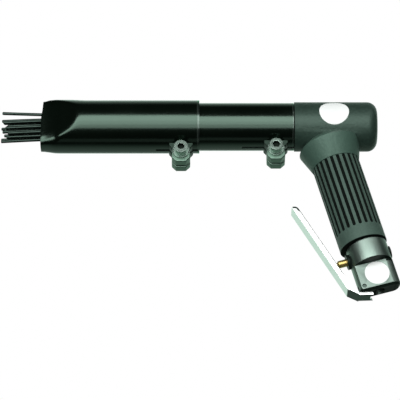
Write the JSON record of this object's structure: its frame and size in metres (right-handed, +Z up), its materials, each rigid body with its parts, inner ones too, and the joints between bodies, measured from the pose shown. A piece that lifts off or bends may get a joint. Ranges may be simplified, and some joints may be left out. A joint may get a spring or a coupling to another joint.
{
  "type": "pneumatic needle scaler",
  "caption": "Air needle scaler: pistol grip with a throttle lever, round head, two telescoping clamped tubes and a bundle of steel needles that hammer out of a flattened nose.",
  "frame": {"origin": "centre of the air inlet mouth at the foot of the handle", "axes": "+Z up, the barrel runs along X with the needles towards -X, Y across the tool"},
  "size_m": [0.3727, 0.0596, 0.2059],
  "materials": {
    "black_casting": "satin black paint on a casting",
    "grip_rubber": "matte moulded",
    "tube_black": "glossy black",
    "fastener_steel": "zinc plated",
    "machined_steel": "ground",
    "black_steel": "blackened",
    "needle_steel": "dark drawn wire",
    "spring_steel": "drawn wire",
    "throttle_alloy": "turned and milled",
    "lever_steel": "bright plated",
    "brass": "turned",
    "seal_rubber": "matte"
  },
  "bodies": {
    "housing": {"handle_housing": "black_casting", "grip_sleeve": "grip_rubber", "rear_tube": "tube_black", "rear_clamp_screw": "fastener_steel", "rear_clamp_washer": "fastener_steel", "rear_clamp_nut": "fastener_steel", "cylinder": "machined_steel", "valve_seat_plate": "machined_steel", "valve_cap": "machined_steel", "spring_seat": "machined_steel", "throttle_body": "throttle_alloy", "handle_seal": "seal_rubber", "inlet_strainer": "brass", "button_bush": "black_steel", "button_seal": "seal_rubber", "valve_plug": "black_steel", "lever_pin": "fastener_steel", "return_spring": "spring_steel", "throttle_spring": "spring_steel"},
    "nose_tube": {"front_tube": "tube_black", "front_clamp_screw": "fastener_steel", "front_clamp_washer": "fastener_steel", "front_clamp_nut": "fastener_steel"},
    "needle_set": {"anvil": "machined_steel", "needle_holder": "black_steel", "needles": "needle_steel"},
    "hammer_piston": {"piston": "machined_steel"},
    "distributor_disc": {"valve_disc": "machined_steel"},
    "throttle_lever": {"throttle_lever": "lever_steel"},
    "throttle_button": {"throttle_button": "brass", "throttle_valve": "brass"}
  },
  "joints": [
    {"name": "lever_hinge", "type": "hinge", "parent": "housing", "child": "throttle_lever", "pos_m": [-0.01368, 0, 0.00142], "axis": [0, 1, 0], "range_deg": [0, 8], "stiffness_Nm_per_rad": 1.5, "springref_deg": -5.73},
    {"name": "button_slide", "type": "slide", "parent": "housing", "child": "throttle_button", "axis": [0.9641, 0, 0.2656], "range_m": [0, 0.0047], "deforming": ["throttle_spring"]},
    {"name": "needle_slide", "type": "slide", "parent": "housing", "child": "needle_set", "axis": [-1, 0, 0], "range_m": [0, 0.008], "stiffness_N_per_m": 4000, "springref_m": -0.003, "deforming": ["return_spring"]},
    {"name": "piston_slide", "type": "slide", "parent": "housing", "child": "hammer_piston", "axis": [-1, 0, 0], "range_m": [0, 0.0448]},
    {"name": "disc_slide", "type": "slide", "parent": "housing", "child": "distributor_disc", "axis": [-1, 0, 0], "range_m": [0, 0.0012]},
    {"name": "nose_tube_slide", "type": "slide", "parent": "housing", "child": "nose_tube", "axis": [-1, 0, 0], "range_m": [-0.015, 0.025]}
  ],
  "couplings": [
    {"joint": "button_slide", "follows": "lever_hinge", "m_per_rad": 0.033}
  ]
}
